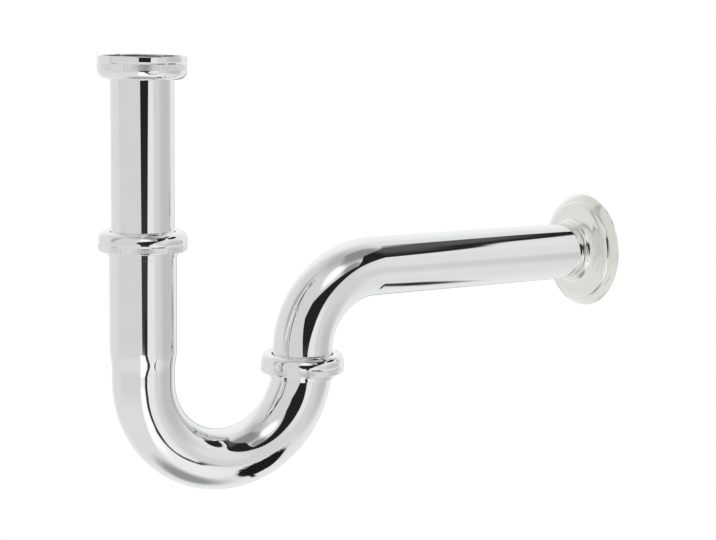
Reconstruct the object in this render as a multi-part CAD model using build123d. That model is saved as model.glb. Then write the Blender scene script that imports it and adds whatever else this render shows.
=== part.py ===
"""Tubular basin trap: inlet tube, U-bend, outlet elbow to the wall, three round nuts and a wall rosette.

Millimetres, +Z up. The origin is on the outlet tube's axis, in the plane of the wall, with +X into the wall.
Heights run as a chain from the outlet tube's axis: elbow, outlet joint, U-bend, inlet joint, inlet nut.
"""
from math import radians, sin
import os

from build123d import *

# Tube
tube_diameter = 32.0
tube_wall = 1.0
tube_end_chamfer = 0.3

# Outlet elbow
wall_reach = 192.0            # outlet leg axis to the plane of the wall
wall_tail = 8.0               # tube that stands into the wall
tail_relief = 0.2             # tail drawn in so that it starts into the wall's sleeve
elbow_bend_radius = 43.5
elbow_leg_straight = 1.9      # straight tube between the bend and the outlet joint line

# U-bend
leg_spacing = 94.0            # inlet leg axis to outlet leg axis
bend_below_joint = 5.0        # outlet joint line to the bend's centre level
inlet_leg_height = 77.1       # bend's centre level to the inlet joint line
socket_wall = 0.8
neck_above_bend = 9.0         # bend's centre level to the foot of the neck
neck_height = 7.5
bell_floor = 1.0

# Inlet tube
inlet_tube_rise = 78.8        # inlet joint line to the union nut's joint line
inlet_insertion = 45.0        # tube below the inlet joint line
flange_thickness = 1.2
gasket_thickness = 2.0
recess_step = 0.4             # thread to the recess that holds flange and gasket
recess_gap = 0.4              # flange and gasket in that recess

# Nuts, measured from the joint line, where the tube enters the nut
nut_wall = 2.05
nut_lip_rise = 1.2            # crest of the rolled lip above the joint line
nut_lip_width = 1.6           # tube hole to the crest
nut_top_wall = 1.2
nut_shoulder_depth = 3.4      # joint line to the end of the rounded shoulder
nut_seam = 0.25               # depth of the turned line round the nut
nut_edge = 0.4
clamp_grip_top = 4.7
clamp_nut_depth = 8.7
union_seam_depth = 7.2
union_nut_depth = 10.4

# Compression joint inside each clamp nut
slip_ring_thickness = 1.2
slip_ring_edge_gap = 0.45
seal_rim = 0.3
seal_edge_inset = 1.05        # collar thread to the seal's rim
collar_thread_wall = 2.9
collar_ring_wall = 0.45
collar_thread_end = 8.5
collar_ring_end = 12.0
collar_shoulder_depth = 6.5

# Wall rosette, measured from the plane of the wall
rosette_diameter = 66.0
rosette_sheet = 0.8
rosette_neck_length = 11.0
rosette_neck_straight = 0.6   # neck's end to the fillet that opens into the dome
rosette_neck_fillet = 4.0
rosette_rim_width = 3.4       # edge on the wall to the groove
rosette_dome_fall = 0.7       # dome's drop from the neck fillet to its shoulder
rosette_shoulder_round = 2.2
rosette_groove_width = 0.7

# Clearances
slide_gap = 0.3               # tube in socket, rosette on tube
nut_hole_gap = 0.6
thread_gap = 0.3
face_gap = 0.1                # flat faces that turn on each other
seal_gap = 0.1                # seal on tube and in its seat
braze_gap = 0.05

# Radii that follow from the tube
tube_r = tube_diameter / 2
tube_bore_r = tube_r - tube_wall
tail_r = tube_r - tail_relief
socket_bore_r = tube_r + slide_gap
socket_r = socket_bore_r + socket_wall
collar_bore_r = socket_r + braze_gap
collar_ring_r = collar_bore_r + collar_ring_wall
collar_thread_r = collar_bore_r + collar_thread_wall
nut_hole_r = tube_r + nut_hole_gap
nut_crest_r = nut_hole_r + nut_lip_width
nut_bore_r = collar_thread_r + thread_gap
nut_r = nut_bore_r + nut_wall
recess_r = nut_bore_r - recess_step
flange_r = recess_r - recess_gap

# Places that follow from the chain of heights
outlet_leg_x = -wall_reach
inlet_leg_x = outlet_leg_x - leg_spacing
bend_radius = leg_spacing / 2
outlet_joint_z = -(elbow_bend_radius + elbow_leg_straight)
bend_z = outlet_joint_z - bend_below_joint
inlet_joint_z = bend_z + inlet_leg_height
union_joint_z = inlet_joint_z + inlet_tube_rise
bell_foot_z = outlet_joint_z - collar_ring_end
bell_seat_z = bell_foot_z + bell_floor
flange_foot_z = union_joint_z + nut_top_wall + face_gap
gasket_foot_z = flange_foot_z + flange_thickness
gasket_top_z = gasket_foot_z + gasket_thickness


def turned(*edges):
    """Solid of revolution about Z from edges drawn as radius and height."""
    return revolve(Plane.XZ * make_face(Curve() + list(edges)), Axis.Z)


def turned_ring(*points):
    """Ring about Z with straight sides, from its corners as radius and height."""
    return turned(Polyline(*points, close=True))


def pipe(radius, low, high):
    """Solid cylinder about Z between two heights."""
    return Pos(0, 0, low) * Cylinder(radius, high - low, align=(Align.CENTER, Align.CENTER, Align.MIN))


def nut_outside(depth, seam_depth):
    """Closed blank of a round nut about Z, joint line at zero and its open end at -depth."""
    crest = (nut_crest_r, nut_lip_rise)
    shoulder = (nut_r, -nut_shoulder_depth)
    hole = (nut_hole_r, 0)
    blank = turned(
        Line((0, -depth), (0, 0)),
        Line((0, 0), hole),
        TangentArc(crest, hole, tangent=(-1, 0)),
        EllipticalCenterArc(
            (nut_crest_r, -nut_shoulder_depth),
            nut_r - nut_crest_r,
            nut_lip_rise + nut_shoulder_depth,
            start_angle=0,
            arc_size=90,
        ),
        Line(shoulder, (nut_r, -depth + nut_edge)),
        Line((nut_r, -depth + nut_edge), (nut_r - nut_edge, -depth)),
        Line((nut_r - nut_edge, -depth), (0, -depth)),
    )
    seam = turned_ring(
        (nut_r - nut_seam, -seam_depth),
        (nut_r + nut_seam, -seam_depth - 2 * nut_seam),
        (nut_r + nut_seam, -seam_depth + 2 * nut_seam),
    )
    return blank - seam


def clamp_nut():
    """Round nut with a tube hole through its rolled lip and a plain bore for the thread."""
    hole = pipe(nut_hole_r, -clamp_nut_depth, nut_lip_rise)
    bore = pipe(nut_bore_r, -clamp_nut_depth, -nut_top_wall)
    return nut_outside(clamp_nut_depth, clamp_grip_top) - hole - bore


def union_nut():
    """Deeper round nut, open end up, with a recess for flange and gasket below its thread."""
    gasket_depth = gasket_top_z - union_joint_z
    hole = pipe(nut_hole_r, -union_nut_depth, nut_lip_rise)
    recess = pipe(recess_r, -gasket_depth, -nut_top_wall)
    bore = pipe(nut_bore_r, -union_nut_depth, -gasket_depth)
    nut = nut_outside(union_nut_depth, union_seam_depth) - hole - recess - bore
    return Rot(180, 0, 0) * nut


# Stack inside a clamp nut, downwards from the joint line
slip_ring_top = nut_top_wall + face_gap
slip_ring_foot = slip_ring_top + slip_ring_thickness
seal_top = slip_ring_foot + face_gap
seal_cone_top = seal_top + seal_rim
seal_rim_r = collar_thread_r - seal_edge_inset
seal_bore_r = tube_r + seal_gap
seal_foot_r = socket_bore_r
seal_foot = seal_cone_top + seal_rim_r - seal_foot_r
seat_rim_r = seal_rim_r + 2 * seal_gap
seat_foot = seal_cone_top + seat_rim_r - socket_bore_r


def slip_ring():
    outer = nut_bore_r - slip_ring_edge_gap
    return pipe(outer, -slip_ring_foot, -slip_ring_top) - pipe(socket_bore_r, -slip_ring_foot, -slip_ring_top)


def cone_seal():
    """Rubber cone ring that the slip ring presses into the collar's mouth."""
    return turned_ring(
        (seal_bore_r, -seal_top),
        (seal_rim_r, -seal_top),
        (seal_rim_r, -seal_cone_top),
        (seal_foot_r, -seal_foot),
        (seal_bore_r, -seal_foot),
    )


def thread_collar():
    """Ring brazed on the end of the U-bend: conical mouth, threaded band and a thin skirt."""
    return turned_ring(
        (seat_rim_r, -seal_cone_top),
        (collar_thread_r, -seal_cone_top),
        (collar_thread_r, -collar_thread_end),
        (collar_ring_r, -collar_thread_end),
        (collar_ring_r, -collar_ring_end),
        (collar_bore_r, -collar_ring_end),
        (collar_bore_r, -collar_shoulder_depth),
        (socket_bore_r, -collar_shoulder_depth),
        (socket_bore_r, -seat_foot),
    )


def necked(foot_r, socket_end_r, foot, neck_foot, neck_top, top):
    """Round leg about Z that widens through a smooth neck to its socket."""
    waist = ((foot_r + socket_end_r) / 2, (neck_foot + neck_top) / 2)
    return turned(
        Line((0, foot), (foot_r, foot)),
        Line((foot_r, foot), (foot_r, neck_foot)),
        TangentArc((foot_r, neck_foot), waist, tangent=(0, 1)),
        TangentArc((socket_end_r, neck_top), waist, tangent=(0, -1)),
        Line((socket_end_r, neck_top), (socket_end_r, top)),
        Line((socket_end_r, top), (0, top)),
        Line((0, top), (0, foot)),
    )


def half_turn(radius):
    """Round bar bent through 180 degrees below the two legs."""
    section = Pos(inlet_leg_x, 0, bend_z) * Circle(radius)
    bend_axis = Axis((inlet_leg_x + bend_radius, 0, bend_z), (0, -1, 0))
    return revolve(section, bend_axis, revolution_arc=180)


def u_bend():
    """Bent tube with a long socket on the inlet leg and a short bell on the outlet leg."""
    neck_foot = bend_z + neck_above_bend
    neck_top = neck_foot + neck_height
    socket_top = inlet_joint_z - collar_shoulder_depth
    bell_top = outlet_joint_z - collar_shoulder_depth
    outside = Pos(inlet_leg_x, 0, 0) * necked(tube_r, socket_r, bend_z, neck_foot, neck_top, socket_top)
    outside += half_turn(tube_r)
    outside += Pos(outlet_leg_x, 0, 0) * pipe(socket_r, bell_foot_z, bell_top)
    inside = Pos(inlet_leg_x, 0, 0) * necked(tube_bore_r, socket_bore_r, bend_z, neck_foot, neck_top, socket_top)
    inside += half_turn(tube_bore_r)
    bell_bore = Pos(outlet_leg_x, 0, 0) * pipe(socket_bore_r, bell_seat_z, outlet_joint_z)
    return outside - inside - bell_bore


def outlet_elbow():
    """Tube from the outlet joint, round a quarter bend and out through the wall."""
    path = FilletPolyline(
        (outlet_leg_x, 0, bell_seat_z + face_gap),
        (outlet_leg_x, 0, 0),
        (0, 0, 0),
        radius=elbow_bend_radius,
    )
    section = Pos(*(path @ 0)) * (Circle(tube_r) - Circle(tube_bore_r))
    tail = pipe(tail_r, 0, wall_tail) - pipe(tube_bore_r, 0, wall_tail)
    end_edge = tail.edges().group_by(Axis.Z)[-1].sort_by(SortBy.LENGTH)[-1]
    return sweep(section, path) + Rot(0, 90, 0) * chamfer(end_edge, tube_end_chamfer)


def inlet_tube():
    """Straight tube with a turned-out flange that the union nut pulls up."""
    foot = inlet_joint_z - inlet_insertion
    tube = pipe(tube_r, foot, gasket_foot_z) + pipe(flange_r, flange_foot_z, gasket_foot_z)
    return Pos(inlet_leg_x, 0, 0) * (tube - pipe(tube_bore_r, foot, gasket_foot_z))


def inlet_gasket():
    ring = pipe(flange_r, gasket_foot_z, gasket_top_z) - pipe(tube_bore_r, gasket_foot_z, gasket_top_z)
    return Pos(inlet_leg_x, 0, 0) * ring


def rosette_form(inset):
    """Pressed rosette about Z, wall plane at zero and neck upwards, its whole surface set in by inset."""
    neck_r = socket_bore_r + rosette_sheet - inset
    neck_base = rosette_neck_length - rosette_neck_straight
    fillet_r = rosette_neck_fillet + inset
    fillet_foot = neck_base - fillet_r
    dome_start_r = neck_r + fillet_r
    rim_r = rosette_diameter / 2 - inset
    rim_top_r = rim_r - rosette_rim_width - inset
    groove_r = rim_top_r - rosette_groove_width
    shoulder_r = groove_r - rosette_shoulder_round
    shoulder_z = fillet_foot - rosette_dome_fall
    groove_z = shoulder_z - rosette_shoulder_round
    diagonal = sin(radians(45))
    return turned(
        Line((0, 0), (0, rosette_neck_length)),
        Line((0, rosette_neck_length), (neck_r, rosette_neck_length)),
        Line((neck_r, rosette_neck_length), (neck_r, neck_base)),
        ThreePointArc(
            (neck_r, neck_base),
            (neck_r + fillet_r * (1 - diagonal), neck_base - fillet_r * diagonal),
            (dome_start_r, fillet_foot),
        ),
        TangentArc((dome_start_r, fillet_foot), (shoulder_r, shoulder_z), tangent=(1, 0)),
        TangentArc((shoulder_r, shoulder_z), (groove_r, groove_z), tangent=(1, -0.3)),
        Line((groove_r, groove_z), (rim_top_r, groove_z)),
        TangentArc((rim_r, 0), (rim_top_r, groove_z), tangent=(0, 1)),
        Line((rim_r, 0), (0, 0)),
    )


def wall_rosette():
    shell = rosette_form(0) - rosette_form(rosette_sheet) - pipe(socket_bore_r, 0, rosette_neck_length)
    return Rot(0, -90, 0) * shell


at_inlet_joint = Pos(inlet_leg_x, 0, inlet_joint_z)
at_outlet_joint = Pos(outlet_leg_x, 0, outlet_joint_z)

pieces = {
    "inlet_union_nut": Pos(inlet_leg_x, 0, union_joint_z) * union_nut(),
    "inlet_gasket": inlet_gasket(),
    "inlet_tube": inlet_tube(),
    "u_bend": u_bend(),
    "outlet_elbow": outlet_elbow(),
    "wall_rosette": wall_rosette(),
}
for side, place in (("inlet", at_inlet_joint), ("outlet", at_outlet_joint)):
    pieces[side + "_clamp_nut"] = place * clamp_nut()
    pieces[side + "_slip_ring"] = place * slip_ring()
    pieces[side + "_cone_seal"] = place * cone_seal()
    pieces[side + "_thread_collar"] = place * thread_collar()

os.makedirs("parts", exist_ok=True)
for name, piece in pieces.items():
    export_step(piece, "parts/" + name + ".step")
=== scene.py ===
"""Looks of a tubular basin trap: chromed tubes, round nuts and a pressed wall rosette, in a white studio."""
import math

import bmesh
import bpy
from mathutils import Matrix, Vector


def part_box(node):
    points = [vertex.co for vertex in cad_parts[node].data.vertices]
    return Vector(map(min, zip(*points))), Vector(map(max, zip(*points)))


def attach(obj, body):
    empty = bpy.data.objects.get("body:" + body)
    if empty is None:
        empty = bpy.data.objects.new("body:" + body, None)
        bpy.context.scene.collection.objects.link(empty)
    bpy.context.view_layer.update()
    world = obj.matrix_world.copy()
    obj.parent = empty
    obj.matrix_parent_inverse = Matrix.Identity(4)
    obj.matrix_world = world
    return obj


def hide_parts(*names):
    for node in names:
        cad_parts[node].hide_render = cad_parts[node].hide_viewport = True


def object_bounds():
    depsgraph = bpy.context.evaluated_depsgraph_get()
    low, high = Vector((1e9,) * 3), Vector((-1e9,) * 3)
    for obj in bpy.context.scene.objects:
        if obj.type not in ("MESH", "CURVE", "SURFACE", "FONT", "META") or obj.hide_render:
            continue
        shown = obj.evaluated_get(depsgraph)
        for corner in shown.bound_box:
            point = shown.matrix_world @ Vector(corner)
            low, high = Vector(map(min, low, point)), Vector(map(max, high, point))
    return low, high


bl_info = {
    "name": "Tubular basin trap",
    "version": (1, 0, 0),
    "blender": (4, 5, 0),
    "location": "View3D > Sidebar > Trap",
    "description": "Builds the chromed pieces of a basin trap round its packed frame",
    "category": "Object",
}

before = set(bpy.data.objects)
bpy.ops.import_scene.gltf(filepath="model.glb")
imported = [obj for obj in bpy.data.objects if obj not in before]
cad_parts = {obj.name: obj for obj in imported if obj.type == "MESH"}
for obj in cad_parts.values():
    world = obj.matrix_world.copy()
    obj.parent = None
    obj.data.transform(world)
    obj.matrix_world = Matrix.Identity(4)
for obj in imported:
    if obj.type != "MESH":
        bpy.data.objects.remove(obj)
cad_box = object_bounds()
MM = 0.001
# Points nearer than this are one: along a turned ring, and where walls meet
RING_WELD, WALL_WELD = 0.002 * MM, 0.004 * MM
X, Z = Vector((1, 0, 0)), Vector((0, 0, 1))

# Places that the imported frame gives, in metres
inlet_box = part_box("inlet_tube")
elbow_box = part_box("outlet_elbow")
bend_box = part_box("u_bend")
rosette_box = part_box("wall_rosette")
INLET_X = (inlet_box[0].x + inlet_box[1].x) / 2
OUTLET_X = elbow_box[0].x + elbow_box[1].z
INLET_AXIS = Vector((INLET_X, 0, 0))
OUTLET_AXIS = Vector((OUTLET_X, 0, 0))


class TrapTubes(bpy.types.PropertyGroup):
    """Sizes of the chromed tubes."""
    tube_radius: bpy.props.FloatProperty(
        name="Tube radius", description="Outside of the drawn tube", default=elbow_box[1].z, unit="LENGTH")
    tube_wall: bpy.props.FloatProperty(
        name="Tube wall", description="Thickness of the drawn tube", default=1.0 * MM, unit="LENGTH")
    socket_radius: bpy.props.FloatProperty(
        name="Socket radius", description="Outside of the widened inlet leg", default=17.1 * MM, unit="LENGTH")
    socket_bore: bpy.props.FloatProperty(
        name="Socket bore", description="Inside of the widened inlet leg", default=16.3 * MM, unit="LENGTH")
    flange_radius: bpy.props.FloatProperty(
        name="Flange radius", description="Turned-out rim at the top of the inlet tube",
        default=(inlet_box[1].x - inlet_box[0].x) / 2, unit="LENGTH")
    tail_radius: bpy.props.FloatProperty(
        name="Tail radius", description="Drawn-in end of the tube behind the rosette",
        default=15.8 * MM, unit="LENGTH")
    edge_round: bpy.props.FloatProperty(
        name="Edge round", description="Softened tube ends", default=0.2 * MM, unit="LENGTH")
    round_steps: bpy.props.IntProperty(
        name="Steps round a tube", description="Faces round each tube", default=128, min=32)


class TrapNuts(bpy.types.PropertyGroup):
    """Sizes of the round nuts and the threads in them."""
    nut_radius: bpy.props.FloatProperty(
        name="Nut radius", description="Grip band of the nuts", default=22.4 * MM, unit="LENGTH")
    hole_radius: bpy.props.FloatProperty(
        name="Hole radius", description="Hole that the tube passes", default=16.6 * MM, unit="LENGTH")
    crest_radius: bpy.props.FloatProperty(
        name="Crest radius", description="Top of the rolled lip", default=18.2 * MM, unit="LENGTH")
    crest_rise: bpy.props.FloatProperty(
        name="Crest rise", description="Rolled lip above the joint line", default=1.2 * MM, unit="LENGTH")
    shoulder_depth: bpy.props.FloatProperty(
        name="Shoulder depth", description="Joint line to the end of the rounded shoulder",
        default=3.4 * MM, unit="LENGTH")
    bore_radius: bpy.props.FloatProperty(
        name="Bore radius", description="Crests of the thread in a nut", default=20.35 * MM, unit="LENGTH")
    top_wall: bpy.props.FloatProperty(
        name="Top wall", description="Metal between the joint line and the bore", default=1.2 * MM, unit="LENGTH")
    thread_pitch: bpy.props.FloatProperty(
        name="Thread pitch", description="Pitch of the pipe thread", default=2.309 * MM, unit="LENGTH")
    thread_depth: bpy.props.FloatProperty(
        name="Thread depth", description="Crest to root of the thread", default=0.8 * MM, unit="LENGTH")
    round_steps: bpy.props.IntProperty(
        name="Steps round a nut", description="Faces round each nut, one grip mark wide", default=360, min=72)


class TrapFinishes(bpy.types.PropertyGroup):
    """Colours of the finishes."""
    chrome: bpy.props.StringProperty(
        name="Chrome", description="Bright chrome plate, sRGB hex", default="F0F2F2")
    steel: bpy.props.StringProperty(
        name="Stainless steel", description="Polished pressed steel, sRGB hex", default="F4F4EE")
    rubber: bpy.props.StringProperty(
        name="Rubber", description="Black moulded rubber, sRGB hex", default="1B1B1C")
    plastic: bpy.props.StringProperty(
        name="Plastic", description="White moulded polyethylene, sRGB hex", default="E9E9E4")


def linear(text):
    """Linear colour from an sRGB hex value."""
    parts = [int(text[i:i + 2], 16) / 255 for i in (0, 2, 4)]
    return [c / 12.92 if c <= 0.04045 else ((c + 0.055) / 1.055) ** 2.4 for c in parts] + [1.0]


def add_node(tree, kind, values=None, links=None, **settings):
    """Adds a node with its settings, socket values and incoming links, and returns it."""
    node = tree.nodes.new(kind)
    for name, value in settings.items():
        setattr(node, name, value)
    for socket, value in (values or {}).items():
        node.inputs[socket].default_value = value
    for socket, source in (links or {}).items():
        tree.links.new(source, node.inputs[socket])
    return node


def new_material(name):
    """Empty node material with a Principled shader on its output."""
    material = bpy.data.materials.new(name)
    material.use_nodes = True
    tree = material.node_tree
    tree.nodes.clear()
    shader = add_node(tree, "ShaderNodeBsdfPrincipled")
    add_node(tree, "ShaderNodeOutputMaterial", links={"Surface": shader.outputs["BSDF"]})
    return material, tree, shader


def tone_noise(tree, size, dark, pale, detail=2.0):
    """Colour that wanders between two tones in patches of the given size."""
    where = add_node(tree, "ShaderNodeTexCoord")
    noise = add_node(tree, "ShaderNodeTexNoise", {"Scale": 1 / size, "Detail": detail},
                     {"Vector": where.outputs["Object"]})
    ramp = add_node(tree, "ShaderNodeValToRGB", links={"Fac": noise.outputs["Fac"]})
    ramp.color_ramp.elements[0].position = 0.35
    ramp.color_ramp.elements[0].color = dark
    ramp.color_ramp.elements[1].position = 0.65
    ramp.color_ramp.elements[1].color = pale
    return ramp.outputs["Color"], noise.outputs["Fac"]


def shaded(colour, share):
    """The colour with its light scaled by a share."""
    return [c * share for c in colour[:3]] + [1.0]


def patchy_material(name, colour, patch, tones, haze):
    """Material whose tone and roughness wander together, in patches of the given size, between two ends of each."""
    material, tree, shader = new_material(name)
    tone, fac = tone_noise(tree, patch, *(shaded(colour, share) for share in tones))
    tree.links.new(tone, shader.inputs["Base Color"])
    rough = add_node(tree, "ShaderNodeMapRange", {"To Min": haze[0], "To Max": haze[1]}, {"Value": fac})
    tree.links.new(rough.outputs["Result"], shader.inputs["Roughness"])
    return material, tree, shader


def chrome_plate(finish):
    """Bright chrome plate on drawn brass: a clean mirror with the faintest haze in patches."""
    material, tree, shader = patchy_material(
        "chrome_plate_bright", linear(finish.chrome), patch=14 * MM, tones=(0.985, 1.0), haze=(0.02, 0.045))
    shader.inputs["Metallic"].default_value = 1.0
    return material


def knurled_plate(finish):
    """Chrome plate over the nuts' fine knurl, which scatters the mirror to an even silver. Its colour carries painted
    light: it is set above the plain chrome so that the band reads lighter.
    """
    # Tones of 1.04 to 1.12 of the chrome are painted light. They lift the band, which the rough knurl would otherwise
    # show darker than the plate beside it.
    material, tree, shader = patchy_material(
        "chrome_plate_knurled", linear(finish.chrome), patch=1.2 * MM, tones=(1.04, 1.12), haze=(0.34, 0.42))
    shader.inputs["Metallic"].default_value = 1.0
    # Knurl of about 0.3 mm, drawn at 0.6 mm so that it shows
    knurl_size, knurl_depth = 0.6 * MM, 0.1 * MM
    where = add_node(tree, "ShaderNodeTexCoord")
    grit = add_node(tree, "ShaderNodeTexNoise", {"Scale": 1 / knurl_size, "Detail": 1.0},
                    {"Vector": where.outputs["Object"]})
    bump = add_node(tree, "ShaderNodeBump", {"Strength": 0.25, "Distance": knurl_depth},
                    {"Height": grit.outputs["Fac"]})
    tree.links.new(bump.outputs["Normal"], shader.inputs["Normal"])
    return material


def pressed_steel(finish):
    """Pressed stainless steel, polished but not plated: warmer, with soft-edged reflections."""
    material, tree, shader = patchy_material(
        "stainless_steel_pressed", linear(finish.steel), patch=9 * MM, tones=(0.985, 1.0), haze=(0.11, 0.13))
    shader.inputs["Metallic"].default_value = 1.0
    return material


def moulded(name, colour, rough):
    """Moulded rubber or plastic: even colour with a fine satin grain that breaks up the shine."""
    material, tree, shader = patchy_material(
        name, colour, patch=0.8 * MM, tones=(0.85, 1.0), haze=(rough - 0.08, rough + 0.08))
    shader.inputs["IOR"].default_value = 1.5
    return material


finishes = {}


def wire(bm, points):
    """Open run of edges through the points, radius along X and height along Z."""
    verts = [bm.verts.new((r, 0, z)) for r, z in points]
    edges = [bm.edges.new(pair) for pair in zip(verts, verts[1:])]
    return verts + edges


def arc(centre, radii, start, end, steps):
    """Points of an elliptical arc in the radius and height plane, angles in degrees."""
    turn = [math.radians(start + (end - start) * i / steps) for i in range(steps + 1)]
    return [(centre[0] + radii[0] * math.cos(a), centre[1] + radii[1] * math.sin(a)) for a in turn]


def bow(first, last, rise, steps):
    """Points of a shallow curve from one point to another, bulging to the left of the way there."""
    (r0, z0), (r1, z1) = first, last
    length = math.hypot(r1 - r0, z1 - z0)
    out = []
    for i in range(steps + 1):
        t = i / steps
        lift = 4 * rise * t * (1 - t) / length
        out.append((r0 + (r1 - r0) * t - (z1 - z0) * lift, z0 + (z1 - z0) * t + (r1 - r0) * lift))
    return out


def held(points, near=0.02 * MM):
    """The profile with a point near each end of its long straights, so that smooth shading keeps them straight."""
    out = [points[0]]
    for (r0, z0), (r1, z1) in zip(points, points[1:]):
        length = math.hypot(r1 - r0, z1 - z0)
        if length > 8 * near:
            t = near / length
            out.append((r0 + (r1 - r0) * t, z0 + (z1 - z0) * t))
            out.append((r1 - (r1 - r0) * t, z1 - (z1 - z0) * t))
        out.append((r1, z1))
    return out


def spin_doubled(bm, geom, centre, axis, angle, steps, doublings=3):
    """Spins a small sector and doubles it until it fills the angle, which is far quicker than one long spin."""
    part = 2 ** doublings
    bmesh.ops.spin(bm, geom=geom, cent=centre, axis=axis, angle=angle / part, steps=steps // part)
    for i in range(doublings):
        whole = list(bm.verts) + list(bm.edges) + list(bm.faces)
        copy = bmesh.ops.duplicate(bm, geom=whole)["geom"]
        verts = [g for g in copy if isinstance(g, bmesh.types.BMVert)]
        turn = Matrix.Rotation(angle / part * 2 ** i, 3, axis)
        bmesh.ops.rotate(bm, cent=centre, matrix=turn, verts=verts)
    bmesh.ops.remove_doubles(bm, verts=bm.verts, dist=RING_WELD)


def turn_profile(bm, points, steps, closed=True):
    """Turns a profile round Z into a ring. A closed profile comes back to its first point."""
    run = held(points + points[:1] if closed else points)
    spin_doubled(bm, wire(bm, run), Vector(), Z, math.tau, steps)


def finish_mesh(bm, name, place=Matrix.Identity(4), sharp=35):
    """Places the mesh, points its faces outwards, smooths it and makes the object."""
    bmesh.ops.transform(bm, matrix=place, verts=bm.verts)
    bmesh.ops.recalc_face_normals(bm, faces=bm.faces)
    for face in bm.faces:
        face.smooth = True
    for edge in bm.edges:
        if len(edge.link_faces) == 2 and edge.calc_face_angle() > math.radians(sharp):
            edge.smooth = False
    mesh = bpy.data.meshes.new(name)
    bm.to_mesh(mesh)
    bm.free()
    piece = bpy.data.objects.new(name, mesh)
    bpy.context.scene.collection.objects.link(piece)
    return piece


def dress(piece, finish, body, slot, *nodes):
    """Gives a piece its finish and its body, and hides the CAD nodes that it stands for. The slot is not used."""
    piece.data.materials.append(finishes[finish])
    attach(piece, body)
    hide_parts(*nodes)
    return piece


def at(axis, height):
    """Place of a joint line on a leg's axis."""
    return Matrix.Translation(axis + Z * height)


class TRAP_OT_finishes(bpy.types.Operator):
    """Make the finishes of the trap."""
    bl_idname = "trap.finishes"
    bl_label = "Finishes"

    def execute(self, context):
        finish = context.scene.trap_finishes
        finishes["chrome"] = chrome_plate(finish)
        finishes["knurl"] = knurled_plate(finish)
        finishes["steel"] = pressed_steel(finish)
        finishes["rubber"] = moulded("rubber_moulded_black", linear(finish.rubber), rough=0.55)
        finishes["plastic"] = moulded("polyethylene_moulded_white", linear(finish.plastic), rough=0.4)
        return {"FINISHED"}


class TRAP_OT_inlet_tube(bpy.types.Operator):
    """Build the straight inlet tube with its turned-out flange and gasket."""
    bl_idname = "trap.inlet_tube"
    bl_label = "Inlet tube"

    def execute(self, context):
        size = context.scene.trap_tubes
        flange_depth, swell = 1.2 * MM, 0.4 * MM
        low, high = inlet_box[0].z, inlet_box[1].z
        outer, rim, soft = size.tube_radius, size.flange_radius, size.edge_round
        bore = outer - size.tube_wall
        flange = high - flange_depth
        bm = bmesh.new()
        turn_profile(bm, [
            (bore, low + soft), (bore + soft, low), (outer - soft, low), (outer, low + soft),
            (outer, flange - soft), (outer + soft, flange), (rim - soft, flange), (rim, flange + soft),
            (rim, high - soft), (rim - soft, high), (bore + soft, high), (bore, high - soft)], size.round_steps)
        dress(finish_mesh(bm, "inlet_tube_chrome", Matrix.Translation(INLET_AXIS)),
              "chrome", "inlet_tube", "chrome_tube", "inlet_tube")
        low, high = (corner.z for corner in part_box("inlet_gasket"))
        bm = bmesh.new()
        turn_profile(bm, [
            (bore, low + swell), (bore + swell, low), (rim - swell, low), (rim, low + swell),
            (rim, high - swell), (rim - swell, high), (bore + swell, high), (bore, high - swell)], size.round_steps)
        dress(finish_mesh(bm, "inlet_gasket_rubber", Matrix.Translation(INLET_AXIS), sharp=60),
              "rubber", "inlet_tube", "black_rubber", "inlet_gasket")
        return {"FINISHED"}


def ring_of(bm, radius, place, steps):
    """Edge loop of a circle round the placed Z axis, first point on X."""
    made = bmesh.ops.create_circle(bm, cap_ends=False, radius=radius, segments=steps, matrix=place)
    verts = made["verts"]
    return list({edge for vert in verts for edge in vert.link_edges})


def sweep_ring(bm, edges, moves):
    """Pushes an edge loop through straight moves and turns, leaving a tube behind it. Returns the last loop."""
    for kind, value in moves:
        if kind == "push":
            grown = bmesh.ops.extrude_edge_only(bm, edges=edges)["geom"]
            verts = {g for g in grown if isinstance(g, bmesh.types.BMVert)}
            bmesh.ops.translate(bm, verts=list(verts), vec=value)
            edges = [g for g in grown if isinstance(g, bmesh.types.BMEdge) and verts.issuperset(g.verts)]
        if kind == "turn":
            centre, axis, angle, steps = value
            last = bmesh.ops.spin(bm, geom=edges, cent=centre, axis=axis, angle=angle, steps=steps)["geom_last"]
            edges = [g for g in last if isinstance(g, bmesh.types.BMEdge)]
    return edges


def draw_in(bm, edges, share, centre):
    """Draws an edge loop in toward its axis, or lets it out, by a share of its radius."""
    verts = list({vert for edge in edges for vert in edge.verts})
    flat = max(v.co.z for v in verts) - min(v.co.z for v in verts) < 0.001 * MM
    scale = (share, share, 1) if flat else (1, share, share)
    bmesh.ops.scale(bm, vec=scale, verts=verts, space=Matrix.Translation(-centre))


def leg_wall(bm, axis, run, steps):
    """Wall of revolution on a vertical leg, from an open profile, merged later with what it meets."""
    made = bmesh.new()
    turn_profile(made, run, steps, closed=False)
    bmesh.ops.translate(made, verts=made.verts, vec=axis)
    mesh = bpy.data.meshes.new("leg_wall")
    made.to_mesh(mesh)
    made.free()
    bm.from_mesh(mesh)
    bpy.data.meshes.remove(mesh)


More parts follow.
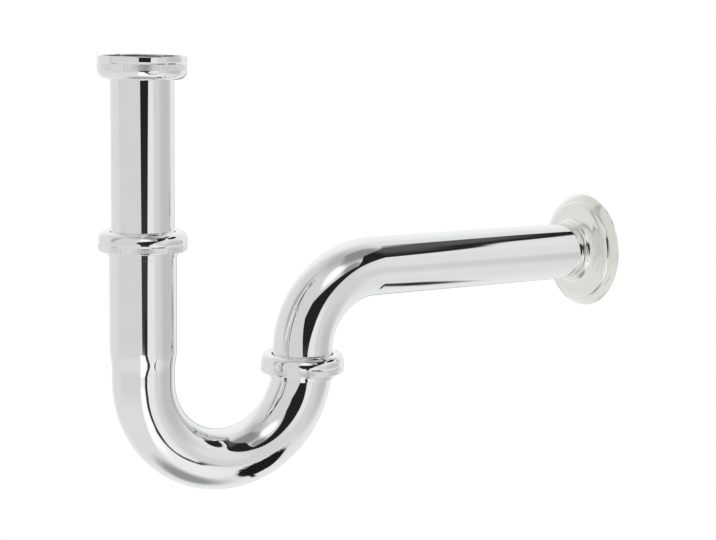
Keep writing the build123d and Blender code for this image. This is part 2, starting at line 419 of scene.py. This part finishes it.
class TRAP_OT_u_bend(bpy.types.Operator):
    """Build the U-bend with its long socket, neck and bell."""
    bl_idname = "trap.u_bend"
    bl_label = "U-bend"

    def execute(self, context):
        size = context.scene.trap_tubes
        steps, bend_steps, neck_steps = size.round_steps, 128, 16
        # Neck's start and end above the bend, then the bell's depth, its ledge and the easing of its foot
        neck_start, neck_end = 5.5 * MM, 17 * MM
        bell_depth, ledge, ease = 5.5 * MM, 1.0 * MM, 0.4 * MM
        reach = (OUTLET_X - INLET_X) / 2
        level = bend_box[0].z + reach + size.tube_radius
        centre = (INLET_X + reach, 0, level)
        tube, bore = size.tube_radius, size.tube_radius - size.tube_wall
        outer, inner = size.socket_radius, size.socket_bore
        bm = bmesh.new()
        for radius, socket in ((tube, outer), (bore, inner)):
            ring = ring_of(bm, radius, Matrix.Translation(INLET_AXIS + Z * level), steps)
            sweep_ring(bm, ring, [("turn", (centre, (0, -1, 0), math.pi, bend_steps))])
            neck = []
            for i in range(neck_steps + 1):
                t = i / neck_steps
                neck.append((radius + (socket - radius) * (1 - math.cos(math.pi * t)) / 2,
                             level + neck_start + (neck_end - neck_start) * t))
            leg_wall(bm, INLET_AXIS, [(radius, level)] + neck + [(socket, bend_box[1].z)], steps)
        leg_wall(bm, INLET_AXIS, [(inner, bend_box[1].z), (outer, bend_box[1].z)], steps)
        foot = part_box("outlet_thread_collar")[0].z
        leg_wall(bm, OUTLET_AXIS, [
            (bore, level), (bore, foot + ledge), (inner, foot + ledge),
            (inner, foot + bell_depth), (outer, foot + bell_depth), (outer, foot + ease),
            (outer - ease, foot), (tube, foot), (tube, level)], steps)
        bmesh.ops.remove_doubles(bm, verts=bm.verts, dist=WALL_WELD)
        dress(finish_mesh(bm, "u_bend_chrome"), "chrome", "u_bend", "chrome_tube", "u_bend")
        return {"FINISHED"}


class TRAP_OT_outlet_elbow(bpy.types.Operator):
    """Build the outlet tube: a short leg, a quarter bend and the run to the wall."""
    bl_idname = "trap.outlet_elbow"
    bl_label = "Outlet elbow"

    def execute(self, context):
        size = context.scene.trap_tubes
        radius, bend_steps = 43.5 * MM, 96
        foot, tail = elbow_box[0].z, elbow_box[1].x
        soft = size.edge_round
        bore = size.tube_radius - size.tube_wall
        bm = bmesh.new()
        for wall, end in ((size.tube_radius, size.tail_radius), (bore, bore)):
            ring = ring_of(bm, wall, Matrix.Translation(OUTLET_AXIS + Z * foot), size.round_steps)
            if wall > bore:
                draw_in(bm, sweep_ring(bm, ring, [("push", Vector())]), bore / wall, OUTLET_AXIS)
            ring = sweep_ring(bm, ring, [
                ("push", Z * (-radius - foot)),
                ("turn", ((OUTLET_X + radius, 0, -radius), (0, 1, 0), math.pi / 2, bend_steps)),
                ("push", X * (-OUTLET_X - radius)), ("push", X * soft / 10)])
            # The tail narrows in a short step where the tube enters the wall
            draw_in(bm, ring, end / wall, Vector())
            ring = sweep_ring(bm, ring, [("push", X * (tail - soft * 1.1)), ("push", X * soft)])
            if wall > bore:
                draw_in(bm, ring, 1 - soft / end, Vector())
                draw_in(bm, sweep_ring(bm, ring, [("push", Vector())]), bore / (end - soft), Vector())
        bmesh.ops.remove_doubles(bm, verts=bm.verts, dist=WALL_WELD)
        dress(finish_mesh(bm, "outlet_elbow_chrome"), "chrome", "outlet_elbow", "chrome_tube", "outlet_elbow")
        return {"FINISHED"}


# Depths from a nut's joint line: its turned seam, and the top and the foot of its grip band
CLAMP_SEAM, CLAMP_GRIP = 4.7 * MM, (-5.4 * MM, -7.9 * MM)
UNION_SEAM, UNION_GRIP = 7.2 * MM, (-3.6 * MM, -6.5 * MM)
# Ridge of one turn of thread: share of the thread's depth, share of its pitch
NUT_RIDGE = ((0, 0), (1, 0.4), (1, 0.5), (0, 0.9))
COLLAR_RIDGE = ((0, 0), (0, 0.2), (1, 0.55), (1, 0.65))


def nut_profile(size, depth, seam, bore, grip):
    """Outside of a round nut from its tube hole over the rolled lip to the open end, then its bore back to the hole.

    Joint line at zero, open end down. The seam is a fine turned line beside the grip band."""
    r, hole, crest, rise = size.nut_radius, size.hole_radius, size.crest_radius, size.crest_rise
    cut, edge = 0.25 * MM, 0.4 * MM
    line = [(r, -seam + 2 * cut), (r - cut * 0.8, -seam + 0.3 * cut), (r - cut * 0.8, -seam - 0.3 * cut),
            (r, -seam - 2 * cut)]
    side = sorted(line + [(r, z) for z in grip], key=lambda point: -point[1])
    lip = arc((crest, 0), (crest - hole, rise), 180, 90, 10)
    shoulder = arc((crest, -size.shoulder_depth), (r - crest, rise + size.shoulder_depth), 90, 0, 24)
    end = arc((r - edge, -depth + edge), (edge, edge), 0, -90, 6)
    return lip + shoulder[1:] + side + end + bore + [(hole, -size.top_wall)]


def cut_grip_marks(bm, size, top, foot):
    """Gives the grip band its rough finish and sinks groups of short upright marks into it."""
    groups, marks, pitch = 9, 5, 4
    inset, sink = 0.05 * MM, 0.25 * MM
    step = 360 // groups
    chosen = []
    for face in bm.faces:
        mid = face.calc_center_median()
        if math.hypot(mid.x, mid.y) < size.nut_radius - inset or not foot < mid.z < top:
            continue
        face.material_index = 1
        turn = round(math.degrees(math.atan2(mid.y, mid.x)) - 0.5) % 360
        within = turn % step
        if within < marks * pitch and within % pitch == 0:
            chosen.append(face)
    bmesh.ops.inset_individual(bm, faces=chosen, thickness=inset, depth=-sink, use_even_offset=True)


def build_nut(size, node, depth, seam, bore, grip, place):
    """Round nut with its turned line and grip marks, plated all over and knurled on the grip band."""
    bm = bmesh.new()
    turn_profile(bm, nut_profile(size, depth, seam, bore, grip), size.round_steps)
    cut_grip_marks(bm, size, *grip)
    nut = dress(finish_mesh(bm, node + "_chrome", place), "chrome", node, "chrome_nut", node)
    nut.data.materials.append(finishes["knurl"])


class TRAP_OT_nuts(bpy.types.Operator):
    """Build the union nut at the inlet and the two compression nuts."""
    bl_idname = "trap.nuts"
    bl_label = "Round nuts"

    def execute(self, context):
        size = context.scene.trap_nuts
        bore, top, pitch = size.bore_radius, size.top_wall, size.thread_pitch
        lead, thread_start = 0.3 * MM, 0.5 * MM
        for side, axis in (("inlet", INLET_AXIS), ("outlet", OUTLET_AXIS)):
            node = side + "_clamp_nut"
            low, high = (corner.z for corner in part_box(node))
            depth = high - low - size.crest_rise
            inside = [(bore + lead, -depth), (bore, -depth + lead), (bore, -top)]
            build_nut(size, node, depth, CLAMP_SEAM, inside, CLAMP_GRIP, at(axis, high - size.crest_rise))
        # The union nut hangs open end up, with a recess for the gasket over its tube hole
        recess, seat = 19.95 * MM, 4.5 * MM
        low, high = (corner.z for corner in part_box("inlet_union_nut"))
        depth = high - low - size.crest_rise
        inside = [(bore + lead, -depth), (bore, -depth + lead)]
        for i in range(int((depth - seat - thread_start) / pitch)):
            z = -depth + thread_start + i * pitch
            inside += [(bore + size.thread_depth * deep, z + pitch * along) for deep, along in NUT_RIDGE]
        inside += [(bore, -seat), (recess, -seat), (recess, -top)]
        flip = at(INLET_AXIS, low + size.crest_rise) @ Matrix.Rotation(math.pi, 4, "X")
        build_nut(size, "inlet_union_nut", depth, UNION_SEAM, inside, UNION_GRIP, flip)
        return {"FINISHED"}


class TRAP_OT_collars(bpy.types.Operator):
    """Build the threaded collars under the compression nuts and finish the rings inside them."""
    bl_idname = "trap.collars"
    bl_label = "Threaded collars"

    def execute(self, context):
        size, tubes = context.scene.trap_nuts, context.scene.trap_tubes
        pitch = size.thread_pitch
        # Plain skirt, its play and wall on the socket, the seat on the socket's end, the mouth's wall and eased edges
        skirt, play, skirt_wall, seat = 3.5 * MM, 0.05 * MM, 0.5 * MM, 5.5 * MM
        mouth_wall, lead, ease = 0.85 * MM, 0.3 * MM, 0.1 * MM
        for side, axis in (("inlet", INLET_AXIS), ("outlet", OUTLET_AXIS)):
            node = side + "_thread_collar"
            low, high = (corner.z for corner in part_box(node))
            crest = (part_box(node)[1].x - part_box(node)[0].x) / 2
            foot = low + skirt
            bore, ring = tubes.socket_radius + play, tubes.socket_radius + skirt_wall
            mouth = crest - mouth_wall
            run = [(mouth, high), (crest - lead, high)]
            turns = int((high - foot - 2 * lead) / pitch)
            for i in range(turns):
                z = high - lead - i * pitch
                run += [(crest - size.thread_depth * deep, z - pitch * along) for deep, along in COLLAR_RIDGE]
            run += [(crest, high - lead - turns * pitch), (crest, foot), (ring, foot), (ring, low + ease),
                    (ring - ease, low), (bore, low), (bore, low + seat), (tubes.socket_bore, low + seat),
                    (tubes.socket_bore, high - (mouth - tubes.socket_bore))]
            bm = bmesh.new()
            turn_profile(bm, run, tubes.round_steps)
            dress(finish_mesh(bm, node + "_chrome", Matrix.Translation(axis)),
                  "chrome", "u_bend", "chrome_tube", node)
            for part, finish, slot in (("slip_ring", "plastic", "white_plastic"),
                                       ("cone_seal", "rubber", "black_rubber")):
                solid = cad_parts[side + "_" + part]
                solid.data.materials.clear()
                solid.data.materials.append(finishes[finish])
        return {"FINISHED"}


class TRAP_OT_rosette(bpy.types.Operator):
    """Build the pressed wall rosette."""
    bl_idname = "trap.rosette"
    bl_label = "Wall rosette"

    def execute(self, context):
        tubes = context.scene.trap_tubes
        rim = (rosette_box[1].z - rosette_box[0].z) / 2
        neck_top = -rosette_box[0].x
        neck_straight, neck_fillet, flare, lip = 0.6 * MM, 4.0 * MM, 6.8 * MM, 0.3 * MM
        rim_width, groove_width, rim_bow = 3.4 * MM, 0.7 * MM, 0.15 * MM
        dome_fall, skirt, sheet = 2.9 * MM, 0.7 * MM, 0.8 * MM
        round_steps, flare_steps, dome_steps, rim_steps = 240, 28, 36, 12
        base = neck_top - neck_straight
        runs = []
        for inset in (0.0, sheet):
            neck, bend = tubes.socket_bore + sheet - inset, neck_fillet + inset
            start, top = neck + flare + inset, base - bend
            edge = rim - inset
            rim_top = edge - rim_width - inset
            floor = top - dome_fall
            runs.append(
                [(neck, neck_top if inset else neck_top - lip)]
                + arc((start, base), (flare + inset, bend), 180, 270, flare_steps)
                + arc((start, floor), (rim_top - groove_width - start, dome_fall), 90, 0, dome_steps)[1:]
                + bow((rim_top, floor), (edge, skirt), rim_bow, rim_steps) + [(edge, 0)])
        outer, inner = runs
        run = [(outer[0][0] - lip, neck_top)] + outer + inner[::-1]
        bm = bmesh.new()
        turn_profile(bm, run, round_steps)
        piece = finish_mesh(bm, "wall_rosette_steel", Matrix.Rotation(-math.pi / 2, 4, "Y"))
        dress(piece, "steel", "wall_rosette", "polished_steel", "wall_rosette")
        return {"FINISHED"}


def grey(tone):
    """Linear grey from a tone of 0 to 255."""
    return linear(f"{tone:02X}" * 3)


def studio_course(tree, along, points):
    """Course of an edge through the studio: how far across it lies at an angle along it, from pairs of degrees."""
    first, last = points[0][0], points[-1][0]
    way = add_node(tree, "ShaderNodeMapRange", {"From Min": first, "From Max": last}, {"Value": along})
    curve = add_node(tree, "ShaderNodeFloatCurve", links={"Value": way.outputs["Result"]})
    line = curve.mapping.curves[0]
    places = [((a - first) / (last - first), (b + 180) / 360) for a, b in points]
    line.points[0].location, line.points[1].location = places[0], places[-1]
    for place in places[1:-1]:
        line.points.new(*place)
    for point in line.points:
        point.handle_type = "VECTOR"
    curve.mapping.update()
    return add_node(tree, "ShaderNodeMapRange", {"To Min": -180.0, "To Max": 180.0},
                    {"Value": curve.outputs["Value"]}).outputs["Result"]


def studio_oval(tree, turn, rise, az, el, wide, tall, soft):
    """Edge of a soft oval: squared distance from its middle, where it starts to show, where it shows in full."""
    across, up = (
        add_node(tree, "ShaderNodeMath", {1: 1 / half, 2: -mid / half}, {0: angle},
                 operation="MULTIPLY_ADD").outputs[0]
        for angle, mid, half in ((turn, az, wide), (rise, el, tall)))
    square = add_node(tree, "ShaderNodeMath", links={0: across, 1: across}, operation="MULTIPLY")
    spread = add_node(tree, "ShaderNodeMath", links={0: up, 1: up, 2: square.outputs[0]}, operation="MULTIPLY_ADD")
    return spread.outputs[0], 1 + soft, 1 - soft


def studio_seam(tree, along, across, points, half, fades):
    """Edges of a thin line through the studio that fades out toward its ends."""
    course = studio_course(tree, along, points)
    off = add_node(tree, "ShaderNodeMath", links={0: across, 1: course}, operation="SUBTRACT")
    off = add_node(tree, "ShaderNodeMath", links={0: off.outputs[0]}, operation="ABSOLUTE")
    start, end = points[0][0], points[-1][0]
    return ((off.outputs[0], half * 1.6, half * 0.6), (along, start, start + fades[0]), (along, end, end - fades[1]))


def lay_tone(tree, light, tone, *edges):
    """Draws the studio's light to a tone of 0 to 255 wherever every edge is passed.

    An edge is a value, the number at which the tone starts to show and the number at which it shows in full."""
    share = None
    for value, start, full in edges:
        edge = add_node(tree, "ShaderNodeMapRange", {"From Min": start, "From Max": full}, {"Value": value},
                        interpolation_type="SMOOTHSTEP").outputs["Result"]
        share = edge if share is None else add_node(
            tree, "ShaderNodeMath", links={0: share, 1: edge}, operation="MULTIPLY").outputs[0]
    return add_node(tree, "ShaderNodeMix", {7: grey(tone)}, {0: share, 6: light}, data_type="RGBA").outputs[2]


# Tones of the studio, 0 to 255, as the plate shows them
WALL, LOW_WALL, CEILING, UNDERSIDE, SWEEP = 210, 220, 178, 148, 255
GAP, GAP_FLOOR, GAP_STRAY = 34, 60, 84
RISING_LINE, FRONT_LINE, SIDE_LINE = 38, 70, 50
# The mirrored studio is raised by what the plate takes from it
STUDIO_STRENGTH = 1.13
# Even light of the room, on all that is not a mirror
ROOM = 225
# Soft panels and dim corners, each over the ones before: tone, azimuth, elevation, half width, half height, softness
STUDIO_PANELS = (
    (230, 45, -5, 70, 75, 0.9),  # wall behind the trap
    (239, 66, 28, 30, 30, 0.9),  # brighter panel high on it
    (191, -22, -8, 27, 20, 0.9),  # dim corner on the right
    (172, 158, 32, 9, 32, 0.7),  # dim strip on the left
    (226, -30, 36, 40, 14, 0.8),  # panel over the right corner
    (140, -56, 72, 46, 22, 0.7),  # dim ceiling on the right
    (145, -79, 40, 9, 9, 0.7),  # dim corner under that ceiling
    (255, -108, 50, 18, 13, 0.6),  # bright lamp over the camera
    (236, -85, -45, 34, 28, 0.9),  # floor in front
    (219, 126, 0, 28, 34, 0.8),  # wall on the left
    (229, -88, -9, 15, 15, 0.7),  # front panel right of the camera
    (222, -54, 14, 13, 13, 0.8),  # panel beside it
    (45, 58, -13, 9, 12, 0.4),  # dark stand low behind the trap
    (34, -14, 37.5, 20, 8.5, 0.25))  # dark beam over the right corner
# Unlit gap between the front panels, where the camera stands, and on over the right of the trap
GAP_FOOT = (
    (-140, 60), (-134, 20), (-128, 7), (-121.5, -4), (-119.3, -9), (-118, -11.9), (-100.7, -11.9), (-99.3, -10),
    (-95, -5), (-91, -1), (-86, 10), (-70, 25), (-50, 33.5), (-44, 38), (-38, 42.5), (-33, 46), (-27, 48.5),
    (-15, 50), (10, 50.5), (15, 53), (24, 75))
GAP_HEAD = (
    (-140, -45), (-133.5, 15), (-125, 28), (-115, 30), (-72, 33), (-66, 50), (-60, 57), (-45, 58), (5, 57.5),
    (16, 50), (24, 20))
# Thin dark seams between the floor sweep and the panels
RISING_SEAM = ((-34, -86), (-31, -91), (-27, -97), (-22, -101), (-16, -102.5), (-13, -104.8), (-10, -104.8))
FRONT_SEAM = ((-101, -29.5), (-94, -33), (-87, -34), (-80, -33.5), (-75, -31.5), (-68, -26.5), (-61, -12))
SIDE_SEAM = ((-34, -52), (-24, -54.6), (-10, -56.3), (2, -56.3), (14, -54.5), (24, -51))


def studio_world():
    """White studio round the trap: soft panels with an unlit gap, which the chrome mirrors."""
    world = bpy.data.worlds.new("white_studio")
    world.use_nodes = True
    tree = world.node_tree
    tree.nodes.clear()
    where = add_node(tree, "ShaderNodeTexCoord")
    axes = add_node(tree, "ShaderNodeSeparateXYZ", links={"Vector": where.outputs["Generated"]})
    angle = add_node(tree, "ShaderNodeMath", links={0: axes.outputs["Y"], 1: axes.outputs["X"]}, operation="ARCTAN2")
    height = add_node(tree, "ShaderNodeMath", links={0: axes.outputs["Z"]}, operation="ARCSINE")
    turn = add_node(tree, "ShaderNodeMath", links={0: angle.outputs[0]}, operation="DEGREES").outputs[0]
    rise = add_node(tree, "ShaderNodeMath", links={0: height.outputs[0]}, operation="DEGREES").outputs[0]

    fall = add_node(tree, "ShaderNodeMapRange", {"From Min": -12, "From Max": -30}, {"Value": rise},
                    interpolation_type="SMOOTHSTEP")
    light = add_node(tree, "ShaderNodeMix", {6: grey(WALL), 7: grey(LOW_WALL)}, {0: fall.outputs["Result"]},
                     data_type="RGBA").outputs[2]
    light = lay_tone(tree, light, CEILING, (rise, 55, 82))
    for tone, *spot in STUDIO_PANELS:
        light = lay_tone(tree, light, tone, studio_oval(tree, turn, rise, *spot))
    light = lay_tone(tree, light, UNDERSIDE, (rise, -60, -80))
    light = lay_tone(tree, light, SWEEP, (turn, -126, -124), (turn, -90, -108), (rise, -11, -14), (rise, -62, -44))
    foot, head = studio_course(tree, turn, GAP_FOOT), studio_course(tree, turn, GAP_HEAD)
    above = add_node(tree, "ShaderNodeMath", links={0: rise, 1: foot}, operation="SUBTRACT").outputs[0]
    below = add_node(tree, "ShaderNodeMath", links={0: head, 1: rise}, operation="SUBTRACT").outputs[0]
    gap = ((above, -0.45, 0.45), (below, -1.6, 1.6))
    light = lay_tone(tree, light, GAP, *gap)
    light = lay_tone(tree, light, GAP_FLOOR, (rise, -3, -12), *gap)
    # Light that strays into the gap over the trap, short of its lower edge
    light = lay_tone(tree, light, GAP_STRAY, (above, 1.5, 4), (turn, -50, -30), *gap)
    light = lay_tone(tree, light, RISING_LINE, *studio_seam(tree, rise, turn, RISING_SEAM, 4.2, (3, 1)))
    light = lay_tone(tree, light, FRONT_LINE, *studio_seam(tree, turn, rise, FRONT_SEAM, 1.5, (2, 6)))
    light = lay_tone(tree, light, SIDE_LINE, *studio_seam(tree, turn, rise, SIDE_SEAM, 0.9, (6, 24)))

    seen = add_node(tree, "ShaderNodeLightPath")
    studio = add_node(tree, "ShaderNodeBackground", {"Strength": STUDIO_STRENGTH}, {"Color": light})
    soft = add_node(tree, "ShaderNodeBackground", {"Color": grey(ROOM)})
    lit = add_node(tree, "ShaderNodeMixShader", links={
        0: seen.outputs["Is Glossy Ray"], 1: soft.outputs["Background"], 2: studio.outputs["Background"]})
    white = add_node(tree, "ShaderNodeBackground", {"Color": (1, 1, 1, 1)})
    shown = add_node(tree, "ShaderNodeMath", links={
        0: seen.outputs["Is Camera Ray"], 1: seen.outputs["Is Transmission Ray"]}, operation="MAXIMUM")
    mix = add_node(tree, "ShaderNodeMixShader", links={
        0: shown.outputs[0], 1: lit.outputs["Shader"], 2: white.outputs["Background"]})
    add_node(tree, "ShaderNodeOutputWorld", links={"Surface": mix.outputs["Shader"]})
    return world


# Radius of the floor and its drop below the trap, in metres, then its paint and the glow that lifts it to white
FLOOR_RADIUS, FLOOR_DROP = 30.0, 0.5
FLOOR_PAINT, FLOOR_GLOW = (0.44, 0.46), 0.66


def studio_floor():
    """Pale floor well below the trap. It runs white into the background and keeps the trap's soft shadow."""
    material = bpy.data.materials.new("floor_paint_white")
    material.use_nodes = True
    tree = material.node_tree
    tree.nodes.clear()
    where = add_node(tree, "ShaderNodeTexCoord")
    grain = add_node(tree, "ShaderNodeTexNoise", {"Scale": 4.0}, {"Vector": where.outputs["Object"]})
    tone = add_node(tree, "ShaderNodeMapRange", {"To Min": FLOOR_PAINT[0], "To Max": FLOOR_PAINT[1]},
                    {"Value": grain.outputs["Fac"]})
    paint = add_node(tree, "ShaderNodeBsdfDiffuse", links={"Color": tone.outputs["Result"]})
    glow = add_node(tree, "ShaderNodeEmission", {"Strength": FLOOR_GLOW})
    lifted = add_node(tree, "ShaderNodeAddShader", links={0: paint.outputs["BSDF"], 1: glow.outputs["Emission"]})
    seen = add_node(tree, "ShaderNodeLightPath")
    shown = seen.outputs["Is Camera Ray"]
    for ray in ("Is Glossy Ray", "Is Transmission Ray"):
        shown = add_node(tree, "ShaderNodeMath", links={0: shown, 1: seen.outputs[ray]},
                         operation="MAXIMUM").outputs[0]
    mix = add_node(tree, "ShaderNodeMixShader", links={
        0: shown, 1: paint.outputs["BSDF"], 2: lifted.outputs["Shader"]})
    add_node(tree, "ShaderNodeOutputMaterial", links={"Surface": mix.outputs["Shader"]})
    bm = bmesh.new()
    bmesh.ops.create_circle(bm, cap_ends=True, radius=FLOOR_RADIUS, segments=96,
                            matrix=Matrix.Translation((INLET_X / 2, 0, cad_box[0].z - FLOOR_DROP)))
    mesh = bpy.data.meshes.new("floor")
    bm.to_mesh(mesh)
    bm.free()
    mesh.materials.append(material)
    floor = bpy.data.objects.new("floor", mesh)
    bpy.context.scene.collection.objects.link(floor)
    # The plate mirrors the studio's own sweep in place of the floor
    floor.visible_glossy = False


# Middle of the flag, the way its long side runs, and half its length and width
FLAG_MIDDLE, FLAG_ALONG = Vector((-170, -65, -165)) * MM, Vector((0, 0.73, -0.68))
FLAG_HALF_LENGTH, FLAG_HALF_WIDTH = 54 * MM, 33 * MM


def studio_flag():
    """Black flag low beside the bend. Only the plate sees it, as the dark streak under the outlet leg."""
    material, tree, shader = new_material("flag_cloth_black")
    tone, fac = tone_noise(tree, 6 * MM, grey(20), grey(45), detail=5.0)
    tree.links.new(tone, shader.inputs["Base Color"])
    # Frayed edge: the cloth ends sooner or later, as the noise has it
    where = add_node(tree, "ShaderNodeTexCoord")
    reach = add_node(tree, "ShaderNodeVectorMath", {1: (0.5, 0.5, 0)}, {0: where.outputs["UV"]}, operation="DISTANCE")
    frayed = add_node(tree, "ShaderNodeMath", {1: 0.3}, {0: fac, 2: reach.outputs["Value"]}, operation="MULTIPLY_ADD")
    cover = add_node(tree, "ShaderNodeMapRange", {"From Min": 0.62, "From Max": 0.54}, {"Value": frayed.outputs[0]},
                     interpolation_type="SMOOTHSTEP")
    tree.links.new(cover.outputs["Result"], shader.inputs["Alpha"])
    shader.inputs["Roughness"].default_value = 0.9
    shader.inputs["Specular IOR Level"].default_value = 0.1
    facing = FLAG_ALONG.cross(-FLAG_MIDDLE).normalized()
    place = Matrix((FLAG_ALONG, facing.cross(FLAG_ALONG), facing)).transposed().to_4x4()
    place.translation = FLAG_MIDDLE
    half_sizes = Matrix.Diagonal((FLAG_HALF_LENGTH, FLAG_HALF_WIDTH, 1, 1))
    bm = bmesh.new()
    bm.loops.layers.uv.new("UVMap")
    bmesh.ops.create_circle(bm, cap_ends=True, radius=1, segments=48, calc_uvs=True, matrix=place @ half_sizes)
    mesh = bpy.data.meshes.new("flag")
    bm.to_mesh(mesh)
    bm.free()
    mesh.materials.append(material)
    flag = bpy.data.objects.new("flag", mesh)
    bpy.context.scene.collection.objects.link(flag)
    flag.visible_camera = flag.visible_diffuse = flag.visible_shadow = flag.visible_transmission = False


# Camera: the ways to its right, up and forward, its place in metres, its lens and sensor in millimetres, and the
# distance in metres at which its view starts
CAMERA_RIGHT = Vector((0.85197, -0.52337, 0.01555))
CAMERA_UP = Vector((0.06881, 0.14135, 0.98757))
CAMERA_FORWARD = Vector((0.51906, 0.84031, -0.15643))
CAMERA_PLACE = Vector((-0.64046, -0.78206, 0.14405))
CAMERA_LENS, CAMERA_SENSOR, CAMERA_CLIP = 85.20, 36, 0.05


class TRAP_OT_stage(bpy.types.Operator):
    """Set the white studio, the floor, the flag and the camera."""
    bl_idname = "trap.stage"
    bl_label = "Studio"

    def execute(self, context):
        scene = context.scene
        scene.view_settings.view_transform = "Standard"
        scene.world = studio_world()
        studio_floor()
        studio_flag()
        camera = bpy.data.objects.new("camera", bpy.data.cameras.new("camera"))
        scene.collection.objects.link(camera)
        pose = Matrix((CAMERA_RIGHT, CAMERA_UP, -CAMERA_FORWARD)).transposed().to_4x4()
        pose.translation = CAMERA_PLACE
        camera.matrix_world = pose
        camera.data.lens = CAMERA_LENS
        camera.data.sensor_width = CAMERA_SENSOR
        camera.data.clip_start = CAMERA_CLIP
        scene.camera = camera
        return {"FINISHED"}


class TRAP_PT_pieces(bpy.types.Panel):
    """Lists the pieces of the trap in the sidebar."""
    bl_idname = "TRAP_PT_pieces"
    bl_label = "Tubular trap"
    bl_space_type = "VIEW_3D"
    bl_region_type = "UI"
    bl_category = "Trap"

    def draw(self, context):
        for kind in STEPS:
            self.layout.operator(kind.bl_idname)


STEPS = (TRAP_OT_finishes, TRAP_OT_inlet_tube, TRAP_OT_u_bend, TRAP_OT_outlet_elbow, TRAP_OT_nuts,
         TRAP_OT_collars, TRAP_OT_rosette, TRAP_OT_stage)
GROUPS = {"trap_tubes": TrapTubes, "trap_nuts": TrapNuts, "trap_finishes": TrapFinishes}


def register():
    for name, group in GROUPS.items():
        bpy.utils.register_class(group)
        setattr(bpy.types.Scene, name, bpy.props.PointerProperty(type=group))
    for kind in STEPS + (TRAP_PT_pieces,):
        bpy.utils.register_class(kind)


def unregister():
    for kind in (TRAP_PT_pieces,) + STEPS[::-1]:
        bpy.utils.unregister_class(kind)
    for name, group in GROUPS.items():
        delattr(bpy.types.Scene, name)
        bpy.utils.unregister_class(group)


def main():
    register()
    bpy.ops.trap.finishes()
    bpy.ops.trap.inlet_tube()
    bpy.ops.trap.u_bend()
    bpy.ops.trap.outlet_elbow()
    bpy.ops.trap.nuts()
    bpy.ops.trap.collars()
    bpy.ops.trap.rosette()
    bpy.ops.trap.stage()


if __name__ == "__main__":
    main()
